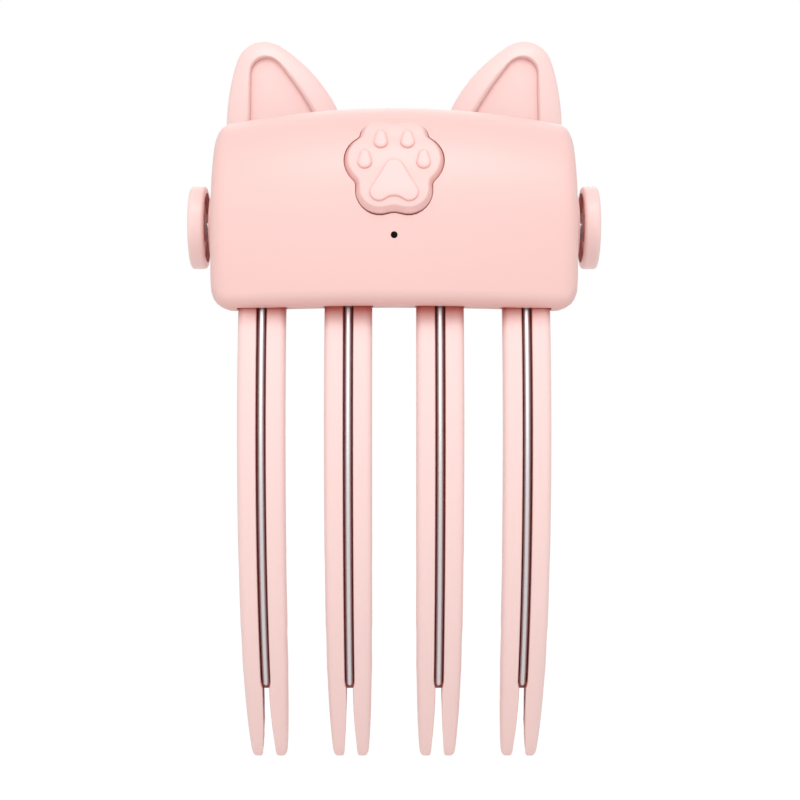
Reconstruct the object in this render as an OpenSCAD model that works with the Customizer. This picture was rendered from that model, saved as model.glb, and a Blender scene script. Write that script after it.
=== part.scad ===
// Heated volumizing hair clip: a claw clip whose front jaw is a crowned housing with
// four slotted comb teeth and a steel heating rod in each, and whose rear jaw is a
// cat-ear lever with matching teeth. Origin: the middle of the hinge axis.
// +X points right in the front view, +Y to the rear jaw and +Z up.

/* [Housing] */
// Width of the housing between its flat end faces
housing_w = 58.6; // [56:0.1:64]
// Distance from the hinge axis to the front face at the middle
housing_front = 23; // [22.5:0.1:26]
// Height of the crest above the hinge axis
crest_z = 18.75; // [18.3:0.05:20.5]
// Depth of the bottom face below the hinge axis, at the middle
base_z = 14.3; // [14:0.1:16.5]
// Height at which the flat front begins to roll back into the crown
crown_start_z = -0.5; // [-2:0.1:0.5]
// Depth of the crown from the front face to the crest
crown_depth = 14.5; // [13.5:0.1:15.5]
// Plan radius of the bowed front
bow_r = 150; // [120:5:300]
// Front-view radius of the arched crest
arch_r = 165; // [140:5:300]
// Front-view radius of the hollowed bottom edge
base_arch_r = 600; // [400:50:1500]
// Radius of the rolled bottom front edge
base_roll_r = 2.5; // [2:0.1:4]
// Radius of the end edges, seen from above
end_edge_r = 2; // [1:0.1:3]
// Radius of the top corners in the front view
top_corner_r = 2.1; // [1.8:0.1:5]
// Radius of the bottom corners in the front view
base_corner_r = 3.6; // [3:0.1:6]
// Wall of the housing
wall = 1.6; // [1.2:0.1:2]
// Lean of the rear cover, the circuit board and the button
lean = 20; // [18:0.5:21]
// Distance from the hinge axis forward to the rear cover, along Y
cover_y = 8; // [7.6:0.1:8.4]
// Thickness of the rear cover
cover_t = 1.6; // [1.2:0.1:2]
// Clearance round the rear cover
cover_gap = 0.1; // [0.05:0.05:0.2]

/* [Hinge and knobs] */
// Diameter of the hinge pin
pin_d = 2.5; // [2:0.1:3]
// Radial running clearance of the pin
pin_clear = 0.05; // [0.02:0.01:0.1]
// Radius of the hinge cheeks of the housing
cheek_r = 6.3; // [5.8:0.1:6.8]
// Thickness of a hinge cheek
cheek_t = 1.6; // [1.4:0.1:2.2]
// Radius of the round boss on each end of the housing
boss_r = 5.5; // [4.5:0.1:5.8]
// Height of that boss
boss_h = 1.7; // [1:0.1:2.5]
// Diameter of a side knob
knob_d = 14; // [12:0.1:15]
// Thickness of a side knob
knob_t = 2.7; // [2.5:0.1:4]
// Gap between the boss and the knob
knob_gap = 0.7; // [0.3:0.05:1]
// Edge radius of a knob
knob_edge_r = 0.6; // [0.3:0.1:1]
// Outer diameter of the hinge barrel on the rear jaw
barrel_d = 6.8; // [6:0.1:7]

/* [Teeth] */
// Distance of the two inner teeth from the middle
inner_tooth_x = 7.3; // [6.8:0.1:7.6]
// Distance of the outer teeth's outer sides from the ends of the housing
tooth_inset = 4.45; // [4.2:0.05:5]
// Width of a tooth across both prongs
tooth_w = 7.6; // [7:0.1:7.9]
// Radius of the front face of the curved teeth
tooth_r = 85; // [80:1:100]
// Depth of the point where the teeth hang straight down, below the hinge axis
tooth_plumb_z = 34.6; // [32:0.2:38]
// How far the foremost point of the teeth lies behind the front of the housing
tooth_setback = 1.6; // [1.2:0.1:2.2]
// Depth of the lowest point of the teeth below the hinge axis
tip_z = 89.6; // [80:0.2:95]
// Front to back depth of a front tooth
front_tooth_t = 3.6; // [3.4:0.1:4]
// Front to back depth of a rear tooth
rear_tooth_t = 2.45; // [2.2:0.05:3]
// Gap between the front and rear teeth when the clip is closed
bite_gap = 0.35; // [0.3:0.05:0.6]
// Radius along the long edges of the prongs
prong_edge_r = 0.6; // [0.3:0.1:0.8]
// Width of the rod slot in a tooth
slot_w = 1.5; // [1.4:0.05:1.8]
// Depth of the rod slot
slot_depth = 2.1; // [1.9:0.1:2.2]
// Width of the split between the prongs where it begins, under the rod slot
split_w = 0.4; // [0.3:0.05:0.8]
// Radius of a prong's tip
prong_tip_r = 1.15; // [1:0.05:1.25]
// Distance from the tooth's middle to the middle of a prong's tip
prong_tip_x = 1.94; // [1.9:0.02:2.2]
// Diameter of a heating rod
rod_d = 1.1; // [1:0.05:1.3]
// Depth of a rod's centre below the front face of the tooth
rod_depth = 1; // [0.8:0.05:1.2]
// Depth of the rods' round lower ends below the hinge axis
rod_end_z = 76.2; // [70:0.2:78]

/* [Ears] */
// Height of the ears above the hinge axis
ear_top_z = 33.7; // [31:0.1:36]
// Distance from the hinge axis back to the ears' middle plane
ear_y = 9.8; // [9.6:0.1:11]
// Distance of an ear's tip centre from the middle of the clip
ear_tip_x = 22.8; // [22.4:0.1:23.2]
// Radius of an ear's rounded tip
ear_tip_r = 5; // [4.6:0.1:5.4]
// Radius of an ear's outer side
ear_outer_r = 40; // [36:1:46]
// Radius of an ear's inner side
ear_inner_r = 28; // [26:0.5:30]
// Radius of the rounded rim of an ear
ear_rim_r = 1.9; // [1.6:0.05:2.1]
// Thickness of the flat field inside an ear
ear_field_t = 1.8; // [1.4:0.1:2.4]
// Thickness of the lever plate
lever_t = 2.4; // [2:0.1:2.6]

/* [Button and light] */
// Height of the button's middle above the hinge axis
button_z = 7; // [6.6:0.1:7.4]
// Distance from the hinge axis forward to the middle of the button's seat
button_y = 20.1; // [19.8:0.05:20.4]
// Height of the button's face over its seat
button_h = 2.1; // [1.9:0.05:2.6]
// Radius of the button's gently crowned face
button_face_r = 60; // [40:5:120]
// Clearance round the button
button_gap = 0.25; // [0.2:0.05:0.35]
// Height of the raised toes and pad of the paw
paw_relief = 0.45; // [0.2:0.05:0.5]
// Travel of the button
button_travel = 0.4; // [0.2:0.05:0.5]
// Height of the indicator below the hinge axis
light_z = 3.4; // [3.2:0.05:3.6]
// Diameter of the indicator lens
light_d = 1; // [0.8:0.1:1.2]

/* [Inner parts] */
// Thickness of the circuit board
board_t = 1; // [0.8:0.1:1.2]
// Width of the circuit board
board_w = 17; // [15:0.5:18]
// Clearance on both sides of a battery cell
cell_gap = 1.6; // [1:0.1:2.5]
// Height of a battery cell
cell_h = 12.5; // [11:0.5:12.5]
// Thickness of a battery cell
cell_t = 5.8; // [5:0.1:5.9]
// Wire diameter of the hinge spring
spring_wire_d = 0.7; // [0.6:0.05:0.8]
// Turns of the hinge spring
spring_turns = 5; // [3:1:6]
// Pitch of the hinge spring's turns
spring_pitch = 1.3; // [1.2:0.05:1.4]

/* [Hidden] */
$fn = 64;

pink = [0.96, 0.77, 0.74];
comb_pink = [0.97, 0.8, 0.77];
steel = [0.8, 0.8, 0.8];
brass = [0.8, 0.65, 0.3];
board_green = [0.1, 0.35, 0.2];
dark = [0.12, 0.1, 0.1];

// Length by which a cut runs past the faces that it opens
over = 0.5;
// Clearance of the inner pieces that are only laid in, and of wires along a face
laid_gap = 0.15;
wire_gap = 0.05;
// Radial clearance of the pieces that are pushed into a hole
push_gap = 0.02;
half_w = housing_w / 2;
outer_tooth_x = half_w - tooth_inset - tooth_w / 2;
pin_r = pin_d / 2;
tan_lean = tan(lean);

// Loft of the housing: sections in YZ at stations along X. An inset draws the same
// form again inside the wall.
end_steps = 6;
mid_steps = 10;
roll_steps = 4;
crown_steps = 12;

function set_back(r, x) = r - sqrt(r * r - x * x);
function edge_drop(r, d) = d >= r ? 0 : r - sqrt(max(0, r * r - (r - d) * (r - d)));
function stations(half, r) = concat(
    [for (k = [0:end_steps - 1]) -half + r * (1 - cos(90 * k / end_steps))],
    [for (k = [0:mid_steps]) (half - r) * (2 * k / mid_steps - 1)],
    [for (k = [end_steps - 1:-1:0]) half - r * (1 - cos(90 * k / end_steps))]);
function cover_line(z) = -cover_y + z * tan_lean;

function front_at(x, inset) = -housing_front + set_back(bow_r, x) + inset
    + edge_drop(max(end_edge_r - inset, 0.4), half_w - inset - abs(x));
function crest_at(x, inset) = crest_z - set_back(arch_r, x) - inset
    - edge_drop(top_corner_r - inset, half_w - inset - abs(x));
function base_at(x, inset) = -base_z - set_back(base_arch_r, x) + inset
    + edge_drop(base_corner_r - inset, half_w - inset - abs(x));

function housing_section(x, inset, back) = let (
    yf = front_at(x, inset),
    zt = crest_at(x, inset),
    zb = base_at(x, inset),
    roll = base_roll_r - inset > 0.4 ? base_roll_r - inset : 0.4,
    depth = crown_depth - inset,
    rise = zt - crown_start_z)
    concat(
        [[x, cover_line(zb) + back, zb]],
        [for (k = [0:roll_steps]) let (a = 90 * k / roll_steps)
            [x, yf + roll * (1 - sin(a)), zb + roll * (1 - cos(a))]],
        [for (k = [0:crown_steps]) let (a = 90 * k / crown_steps)
            [x, yf + depth * (1 - cos(a)), crown_start_z + rise * sin(a)]],
        [[x, cover_line(zt) + back, zt]]);

// Faces of a skin over count rings of size points each, with its two end caps
function skin_faces(count, size) = concat(
    [[for (k = [size - 1:-1:0]) k]],
    [for (s = [0:count - 2], k = [0:size - 1]) let (j = (k + 1) % size)
        [s * size + k, (s + 1) * size + j, (s + 1) * size + k]],
    [for (s = [0:count - 2], k = [0:size - 1]) let (j = (k + 1) % size)
        [s * size + k, s * size + j, (s + 1) * size + j]],
    [[for (k = [0:size - 1]) (count - 1) * size + k]]);

module skin(rings) {
    polyhedron([for (ring = rings, p = ring) p], skin_faces(len(rings), len(rings[0])),
        convexity = 4);
}

// Tube of radius r along points; across is a direction that the path never runs along
function unit(v) = v / norm(v);
function tangent_at(p, i) = unit(p[min(i + 1, len(p) - 1)] - p[max(i - 1, 0)]);
function tube_ring(p, i, r, sides, across) = let (
    t = tangent_at(p, i),
    side = unit(cross(t, across)),
    up = cross(side, t))
    [for (k = [0:sides - 1]) let (a = 360 * (k + 0.5) / sides)
        p[i] + r * (cos(a) * side + sin(a) * up)];

module tube(points, r, sides, across) {
    skin([for (i = [0:len(points) - 1]) tube_ring(points, i, r, sides, across)]);
}

module housing_loft(inset, back) {
    skin([for (x = stations(half_w - inset, base_corner_r - inset))
        housing_section(x, inset, back)]);
}

// Frame of the leaning parts: u along X, v up the slope, w out of the button's face
module on_lean() {
    translate([0, -button_y, button_z])
        rotate([90 - lean, 0, 0])
        children();
}
function from_lean(u, v, w) = [u, -button_y + v * sin(lean) - w * cos(lean),
    button_z + v * cos(lean) + w * sin(lean)];
// v of a point of that frame from its height and its w
function lean_v(z, w) = (z - button_z - w * sin(lean)) / cos(lean);

// w of the outer face of the rear cover, of what lies on the cover and of the board's face
cover_w = -((button_y - cover_y) * cos(lean) + button_z * sin(lean));
laid_w = cover_w + cover_t + 0.8;
board_face_w = laid_w + board_t;

module rounded_box(size, r) {
    for (sx = [-1, 1], sy = [-1, 1])
        translate([sx * (size[0] / 2 - r), sy * (size[1] / 2 - r), 0])
            cylinder(r = r, h = size[2]);
    translate([-size[0] / 2 + r, -size[1] / 2, 0])
        cube([size[0] - 2 * r, size[1], size[2]]);
    translate([-size[0] / 2, -size[1] / 2 + r, 0])
        cube([size[0], size[1] - 2 * r, size[2]]);
}

module rounded_rect(x0, x1, y0, y1, r) {
    translate([x0 + r, y0])
        square([x1 - x0 - 2 * r, y1 - y0]);
    translate([x0, y0 + r])
        square([x1 - x0, y1 - y0 - 2 * r]);
    for (x = [x0 + r, x1 - r], y = [y0 + r, y1 - r])
        translate([x, y])
            circle(r);
}

// Teeth: every tooth, slot and rod is a sweep about one axis along X
tooth_cy = -housing_front + tooth_setback + tooth_r;
tooth_cz = -tooth_plumb_z;
tooth_xs = [-outer_tooth_x, -inner_tooth_x, inner_tooth_x, outer_tooth_x];
rear_face_r = tooth_r - front_tooth_t - bite_gap;
rod_r = tooth_r - rod_depth;
tip_angle = asin((tip_z - tooth_plumb_z) / tooth_r);
rod_end_angle = asin((rod_end_z - rod_d / 2 - tooth_plumb_z) / rod_r);
function angle_at(z, r) = asin((-z - tooth_plumb_z) / r);

module arc_sweep(from, to) {
    translate([0, tooth_cy, tooth_cz])
        rotate([0, 90, 0])
        rotate([0, 0, from - 90])
        rotate_extrude(angle = to - from, $fn = 180)
        children();
}

// Right half of a tooth's front outline: the split, the prong's round tip and the outer
// side, which leaves the tooth's full width where it begins to narrow
tip_steps = 12;
function half_outline(gap, root_z, top) = let (
    outer = tooth_w / 2)
    concat(
        [[gap / 2, root_z]],
        [for (k = [0:tip_steps]) let (a = 177 + 187 * k / tip_steps)
            [prong_tip_x + prong_tip_r * cos(a), -tip_z + prong_tip_r * (1 + sin(a))]],
        [[outer - 0.35, 10 - tip_z], [outer - 0.1, 22 - tip_z], [outer + 0.1, 34 - tip_z],
            [outer + 0.1, top]]);

module tooth_outline(gap, root_z, top) {
    right = half_outline(gap, root_z, top);
    last = len(right) - 1;
    polygon(concat(right, [for (k = [last:-1:0]) [-right[k][0], right[k][1]]]));
}

// Side view of a tooth's band down to its rounded tip, as y and z
module tooth_profile(r_mid, t) {
    tip_r = 0.55 * t;
    tip_a = asin((tip_z - tip_r - tooth_plumb_z) / r_mid);
    translate([tooth_cy - r_mid * cos(tip_a), tooth_cz - r_mid * sin(tip_a)]) {
        circle(tip_r);
        rotate(tip_a)
            translate([-tooth_r, 0])
            square([2 * tooth_r, 2 * tooth_r]);
    }
}

module tooth(r_front, t, gap, root_z, top) {
    intersection() {
        arc_sweep(angle_at(top, r_front), tip_angle + 3)
            rounded_rect(r_front - t, r_front, -tooth_w / 2, tooth_w / 2, prong_edge_r);
        translate([0, tooth_cy - tooth_r / 2, 0])
            rotate([90, 0, 0])
            linear_extrude(tooth_r)
            tooth_outline(gap, root_z, top + over);
        across(tooth_w)
            tooth_profile(r_front - t / 2, t);
    }
}

module rod_path(r, from) {
    arc_sweep(from, rod_end_angle)
        translate([rod_r, 0])
        circle(r);
}

// The comb's base bar, the rod holder over it, and the rods' upper ends
bar_z = -base_z + wall + laid_gap;
bar_h = 3.6;
bar_half_w = outer_tooth_x + tooth_w / 2 + 0.5;
bar_front = -housing_front + wall + 2.6;
bar_back = cover_line(bar_z) - cover_t / cos(lean) - laid_gap;
holder_z = bar_z + bar_h;
holder_h = 3;
holder_half_w = bar_half_w - 1;
holder_front = bar_front + 0.6;
holder_top_z = holder_z + holder_h;
rod_top_z = holder_top_z + 0.7;
rod_top_y = tooth_cy - sqrt(rod_r * rod_r - pow(rod_top_z - tooth_cz, 2));

// Screws: two high at the ends, two low between the teeth with their heads just above the
// lower edge of the cover
screw_r = 0.8;
screw_len = 7;
screw_head_r = 1.5;
screw_head_t = 0.75;
screw_post_r = 1.9;
high_screw_u = half_w - 4.1;
low_screw_u = (inner_tooth_x + outer_tooth_x) / 2;
low_screw_v = lean_v(-base_z + wall + 0.5, cover_w) + screw_head_r;
screw_us = [-high_screw_u, high_screw_u, -low_screw_u, low_screw_u];
screw_vs = [6.8, 6.8, low_screw_v, low_screw_v];

module at_screws() {
    for (i = [0:3])
        translate([screw_us[i], screw_vs[i], 0])
        children();
}

module screw_columns(r, from_w, h) {
    on_lean()
        at_screws()
        translate([0, 0, from_w])
        cylinder(r = r, h = h);
}

// Points of an arc, without its last one
function arc_points(centre, r, from, to, steps) = [for (k = [0:steps - 1])
    let (a = from + (to - from) * k / steps)
    [centre[0] + r * cos(a), centre[1] + r * sin(a)]];
function heading(a, b) = atan2(b[1] - a[1], b[0] - a[0]);

// Centre of the hollow fillet of radius f on the left of the way from circle a to circle b
function hollow(a, b, f) = let (
    way = [b[0] - a[0], b[1] - a[1]],
    span = norm(way),
    d = way / span,
    along = (span * span + pow(a[2] + f, 2) - pow(b[2] + f, 2)) / (2 * span),
    out = sqrt(pow(a[2] + f, 2) - along * along))
    [a[0] + along * d[0] - out * d[1], a[1] + along * d[1] + out * d[0]];

// Outline round a ring of circles (x, y, radius), clockwise, with a hollow fillet after
// each circle. It is moved outward by grow.
function ring_outline(circles, fillets, grow) = let (
    count = len(circles),
    hollows = [for (k = [0:count - 1]) hollow(circles[k], circles[(k + 1) % count], fillets[k])])
    [for (k = [0:count - 1]) let (
        c = circles[k],
        h = hollows[k],
        next = circles[(k + 1) % count],
        start = heading(c, hollows[(k + count - 1) % count]),
        end = heading(c, h),
        back = heading(h, c),
        on = heading(h, next))
        each concat(
            arc_points(c, c[2] + grow, start, end > start ? end - 360 : end, 9),
            arc_points(h, fillets[k] - grow, back, on < back ? on + 360 : on, 5))];

// The button: two upper lobes, two side lobes and two lower lobes
paw_circles = [[2.45, 5.6, 2.8], [2.95, 1.2, 4.8], [2.2, -3.95, 3.7],
    [-2.2, -3.95, 3.7], [-2.95, 1.2, 4.8], [-2.45, 5.6, 2.8]];
paw_fillets = [1, 1.5, 3.4, 1.5, 1, 4.4];
pad_circles = [[0, -0.55, 1.5], [2.35, -4.7, 1.5], [-2.35, -4.7, 1.5]];
pad_fillets = [40, 2.2, 40];
toe_places = [[-4.63, 0.95], [-2.12, 4.6], [2.12, 4.6], [4.63, 0.95]];
toe_w = 2.3;
toe_len = 3.3;

module paw_outline(grow) {
    polygon(ring_outline(paw_circles, paw_fillets, grow));
}

// Side view of the rear jaw, as y and z: the lever's knee above the barrel, and the web's
// foot below it, from which the teeth spring
lever_foot = [-10, -12.6];
lever_knee = [9.2, 17.2];
tooth_root_z = -22;
tooth_root = [tooth_cy - sqrt(pow(rear_face_r - rear_tooth_t / 2, 2)
    - pow(tooth_root_z - tooth_cz, 2)), tooth_root_z];
jaw_half_w = half_w - cheek_t - 0.3;

module capsule(a, b, t) {
    d = b - a;
    for (p = [a, b])
        translate(p)
            circle(t / 2);
    translate(a)
        rotate(atan2(d[1], d[0]))
        translate([0, -t / 2])
        square([norm(d), t]);
}

module across(half) {
    translate([-half, 0, 0])
        rotate([90, 0, 90])
        linear_extrude(2 * half)
        children();
}

module front_shell() {
    color(pink)
    difference() {
        union() {
            difference() {
                housing_loft(0, 0);
                housing_loft(wall, 6);
            }
            for (s = [-1, 1]) {
                translate([s * (half_w - cheek_t / 2), 0, 0])
                    across(cheek_t / 2) cheek_outline();
                translate([s * (half_w - 0.1), 0, 0])
                    rotate([0, s * 90, 0])
                    cylinder(r = boss_r, h = boss_h + 0.1);
            }
            intersection() {
                housing_loft(wall - 0.2, 0);
                screw_columns(screw_post_r, cover_w + cover_t + cover_gap, 20);
            }
        }
        rotate([0, 90, 0])
            cylinder(r = pin_r + pin_clear, h = 3 * housing_w, center = true);
        on_lean()
            translate([0, 0, -4])
            linear_extrude(10)
            paw_outline(button_gap);
        translate([0, -housing_front + 2 * wall, -light_z])
            rotate([90, 0, 0])
            cylinder(r = light_d / 2 + wire_gap, h = 3 * wall);
        for (x = tooth_xs)
            translate([x, 0, 0])
            arc_sweep(angle_at(-base_z + 3, tooth_r), angle_at(-base_z - 2, tooth_r))
            translate([tooth_r - front_tooth_t - laid_gap, -tooth_w / 2 - laid_gap])
            square([front_tooth_t + 2 * laid_gap, tooth_w + 2 * laid_gap]);
        on_lean()
            translate([0, usb_v + 4.5, usb_w])
            rotate([-90, 0, 0])
            rounded_box([usb_size[0] + 2 * laid_gap, usb_size[1] + 2 * laid_gap, 10], 1.6);
        screw_columns(screw_r - push_gap, cover_w, screw_len);
    }
}

// Heights at which the cheeks leave the rear rim of the housing
cheek_foot_z = -10.5;
cheek_top_z = 11.5;
cheek_steps = 24;
function tangent_a(p, side) = atan2(p[1], p[0]) + side * acos(cheek_r / norm(p));

module cheek_outline() {
    foot = [cover_line(cheek_foot_z), cheek_foot_z];
    top = [cover_line(cheek_top_z), cheek_top_z];
    from = tangent_a(foot, 1);
    to = tangent_a(top, -1);
    polygon(concat(
        [top, top - [2, 0], foot - [2, 0], foot],
        [for (k = [0:cheek_steps]) let (a = from + (to - from) * k / cheek_steps)
            cheek_r * [cos(a), sin(a)]]));
}

module rear_cover() {
    color(pink)
    difference() {
        intersection() {
            housing_loft(wall + cover_gap, 3);
            on_lean()
                translate([-half_w, -30, cover_w])
                cube([2 * half_w, 60, cover_t]);
        }
        on_lean()
            at_screws()
            translate([0, 0, cover_w - over]) {
                cylinder(r = screw_r + cover_gap, h = cover_t + 2 * over);
                cylinder(r = screw_head_r + cover_gap, h = screw_head_t + wire_gap + over);
            }
    }
}

module cover_screws() {
    color(steel)
    on_lean()
        at_screws()
        translate([0, 0, cover_w]) {
            difference() {
                cylinder(r = screw_head_r, h = screw_head_t);
                for (a = [0, 90])
                    rotate(a)
                    translate([-0.9, -0.2, -over])
                    cube([1.8, 0.4, over + screw_head_t / 2]);
            }
            cylinder(r = screw_r - wire_gap, h = screw_len - 0.5);
        }
}

module front_comb() {
    color(comb_pink)
    difference() {
        union() {
            for (x = tooth_xs)
                translate([x, 0, 0])
                difference() {
                    tooth(tooth_r, front_tooth_t, split_w, web_end_z, bar_z + 1);
                    rod_slot();
                }
            translate([-bar_half_w, bar_front, bar_z])
                cube([2 * bar_half_w, bar_back - bar_front, bar_h]);
        }
        rod_bores(wire_gap);
        screw_columns(screw_post_r + laid_gap, cover_w, 20);
    }
}

// The floor of a slot ends just below the slot's round end
web_end_z = -rod_end_z + rod_d / 2 - slot_w / 2 - 0.2;

module rod_slot() {
    arc_sweep(angle_at(-base_z + 1, tooth_r), rod_end_angle)
        translate([tooth_r - slot_depth, -slot_w / 2])
        square([slot_depth + over, slot_w]);
    translate([0, tooth_cy, tooth_cz])
        rotate([rod_end_angle, 0, 0])
        translate([0, -tooth_r + slot_depth, 0])
        rotate([90, 0, 0])
        cylinder(r = slot_w / 2, h = slot_depth + over);
}

module heating_rod(i) {
    color(steel)
    translate([tooth_xs[i], 0, 0]) {
        rod_path(rod_d / 2, angle_at(rod_top_z, rod_r));
        translate([0, tooth_cy, tooth_cz])
            rotate([rod_end_angle, 0, 0])
            translate([0, -rod_r, 0])
            sphere(r = rod_d / 2 - wire_gap);
    }
}

module heating_rod_1() {
    heating_rod(0);
}
module heating_rod_2() {
    heating_rod(1);
}
module heating_rod_3() {
    heating_rod(2);
}
module heating_rod_4() {
    heating_rod(3);
}

// Bores for the rods, through everything that lies along their upper ends
module rod_bores(gap) {
    for (x = tooth_xs)
        translate([x, 0, 0])
        rod_path(rod_d / 2 + gap, angle_at(rod_top_z + 1, rod_r));
}

module rod_holder() {
    color(dark)
    difference() {
        translate([-holder_half_w, holder_front, holder_z])
            cube([2 * holder_half_w, bar_back - bar_front, holder_h]);
        rod_bores(push_gap);
        screw_columns(screw_post_r + laid_gap, cover_w, 20);
    }
}

// The return bar is pierced by the rods. The live bar lies on their upper ends, with a
// notch in its rear edge for the lead to the return bar.
busbar_size = [2 * (outer_tooth_x + 1.45), 1.6, 0.4];
busbar_at = [-busbar_size[0] / 2, rod_top_y - busbar_size[1] / 2];
live_z = rod_top_z + laid_gap;
lead_x = 4;
lead_r = 0.25;

module return_busbar() {
    color(brass)
    difference() {
        translate([busbar_at[0], busbar_at[1], holder_top_z])
            cube(busbar_size);
        rod_bores(push_gap);
    }
}

module live_busbar() {
    color(brass)
    difference() {
        translate([busbar_at[0], busbar_at[1], live_z])
            cube(busbar_size);
        translate([lead_x - 3 * lead_r, rod_top_y - 2 * laid_gap, live_z - over])
            cube([6 * lead_r, busbar_size[1], busbar_size[2] + 2 * over]);
    }
}

module lead(from, to) {
    d = to - from;
    translate(from)
        rotate([0, acos(d[2] / norm(d)), atan2(d[1], d[0])])
        cylinder(r = lead_r, h = norm(d));
}

// From the board's face to just above each busbar
module heater_leads() {
    color("crimson")
    for (end = [[-lead_x, live_z], [lead_x, holder_top_z]])
        lead(from_lean(end[0], board_v[0] + 3.5, board_face_w + lead_r + 0.1),
            [end[0], rod_top_y + busbar_size[1] / 4, end[1] + busbar_size[2] + 0.3]);
}

module thermal_sensor() {
    sensor_r = 0.5;
    color(dark)
    translate([0, busbar_at[1] - 2 * laid_gap - sensor_r, holder_top_z + sensor_r + wire_gap])
        rotate([0, 90, 0])
        cylinder(r = sensor_r, h = 3, center = true);
}

cell_v = -2.3;
cell_w = half_w - wall - board_w / 2 - 2 * cell_gap;

module cell(s) {
    color(steel)
    on_lean()
        translate([s * (board_w / 2 + cell_gap + cell_w / 2), cell_v, laid_w])
        rounded_box([cell_w, cell_h, cell_t], 0.8);
}

module left_cell() {
    cell(-1);
}
module right_cell() {
    cell(1);
}

// Along the upper edges of the cells, over the board's face
module cell_leads() {
    lead_v = cell_v + cell_h / 2 + lead_r + wire_gap;
    lead_w = board_face_w + lead_r + wire_gap;
    color("crimson")
    for (s = [-1, 1])
        on_lean()
        lead([s * (board_w / 2 - 1.5), lead_v, lead_w],
            [s * (board_w / 2 + cell_gap + 3), lead_v, lead_w]);
}

// The lamp stands on the board at the height of the lens, near the board's lower end
led_v = lean_v(-light_z, board_face_w);
board_v = [led_v - 1, 13.2];

module circuit_board() {
    color(board_green)
    on_lean()
        translate([-board_w / 2, board_v[0], laid_w])
        cube([board_w, board_v[1] - board_v[0], board_t]);
}

switch_size = 6;
switch_h = 3.4;
switch_floor = 1;
plunger_r = 1.75;
// w of the plunger's foot, which is off the switch's floor by its travel, and of its top
plunger_foot_w = board_face_w + switch_floor + button_travel + 0.1;
plunger_top_w = board_face_w + switch_h + 0.7;

module tact_switch() {
    color(dark)
    on_lean()
        translate([0, 0, board_face_w])
        difference() {
            translate([-switch_size / 2, -switch_size / 2, 0])
                cube([switch_size, switch_size, switch_h]);
            translate([0, 0, switch_floor])
                cylinder(r = plunger_r + pin_clear, h = switch_h);
        }
}

module switch_plunger() {
    color(dark)
    on_lean()
        translate([0, 0, plunger_foot_w])
        cylinder(r = plunger_r, h = plunger_top_w - plunger_foot_w);
}

module status_led() {
    color("white")
    on_lean()
        translate([-0.8, led_v - 0.4, board_face_w])
        cube([1.6, 0.8, 0.6]);
}

module indicator_lens() {
    color(dark)
    translate([0, -housing_front + 0.1, -light_z])
        rotate([-90, 0, 0]) {
            cylinder(d = light_d, h = 8);
            translate([0, 0, wall + push_gap])
                cylinder(d = light_d + 0.8, h = 0.6);
        }
}

// USB-C socket on the board, with its mouth just under the top face
usb_size = [8.94, 3.2, 7.35];
usb_w = board_face_w + usb_size[1] / 2;
usb_wall = 0.3;
usb_v = lean_v(crest_z - 0.3, usb_w + usb_size[1] / 2) - usb_size[2];

module usb_c_socket() {
    color(steel)
    on_lean()
        translate([0, usb_v, usb_w])
        rotate([-90, 0, 0]) {
            difference() {
                rounded_box(usb_size, 1.5);
                translate([0, 0, 0.8])
                    rounded_box([usb_size[0] - 2 * usb_wall, usb_size[1] - 2 * usb_wall, usb_size[2]],
                        1.2);
            }
            translate([-3.35, -0.35, 0])
                cube([6.7, 0.7, usb_size[2] - 0.8]);
        }
}

// w of the foot of the flange that keeps the button in
flange_w = -3.4;

module paw_button() {
    color(pink)
    on_lean() {
        under_crown(0)
            translate([0, 0, flange_w])
            linear_extrude(20)
            paw_outline(0);
        under_crown(paw_relief)
            linear_extrude(20)
            paw_print();
        translate([0, 0, flange_w])
            linear_extrude(0.8)
            paw_outline(0.7);
        translate([0, 0, plunger_top_w])
            cylinder(r = 1.5, h = flange_w - plunger_top_w + 0.2);
    }
}

// Cuts what is given it along the crowned face, raised by a relief
module under_crown(relief) {
    intersection() {
        children();
        translate([0, 0, button_h - button_face_r])
            rotate([0, 90, 0])
            cylinder(r = button_face_r + relief, h = 30, center = true, $fn = 128);
    }
}

module paw_print() {
    polygon(ring_outline(pad_circles, pad_fillets, 0));
    for (place = toe_places)
        translate(place)
            capsule([0, (toe_w - toe_len) / 2], [0, (toe_len - toe_w) / 2], toe_w);
}

// Middles of the left ear's tip, outer side and inner side, as x and z. The angles are
// those at which the sides leave the tip's arc.
ear_outer_a = 17.5;
ear_inner_a = 58;
ear_foot_z = 12;
ear_tip_c = [-ear_tip_x, ear_top_z - ear_tip_r];
ear_oc = ear_tip_c + (ear_outer_r - ear_tip_r) * [cos(ear_outer_a), -sin(ear_outer_a)];
ear_ic = ear_tip_c - (ear_inner_r - ear_tip_r) * [cos(ear_inner_a), sin(ear_inner_a)];

// Points along an arc of the rim's middle line, from one angle to another
function rim_arc(centre, r, from, to, steps) = [for (k = [0:steps])
    let (a = from + (to - from) * k / steps)
    [centre[0] + (r - ear_rim_r) * cos(a), ear_y, centre[1] + (r - ear_rim_r) * sin(a)]];

rim_points = concat(
    rim_arc(ear_ic, ear_inner_r, asin((ear_foot_z - ear_ic[1]) / ear_inner_r), ear_inner_a - 2, 12),
    rim_arc(ear_tip_c, ear_tip_r, ear_inner_a, 180 - ear_outer_a, 10),
    rim_arc(ear_oc, ear_outer_r, 182 - ear_outer_a,
        180 + asin((ear_oc[1] - ear_foot_z) / ear_outer_r), 8));

module ear() {
    translate([0, ear_y + ear_field_t / 2, 0])
        rotate([90, 0, 0])
        linear_extrude(ear_field_t)
        polygon([for (p = rim_points) [p[0], p[2]]]);
    tube(rim_points, ear_rim_r, 16, [0, 1, 0]);
}

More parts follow.
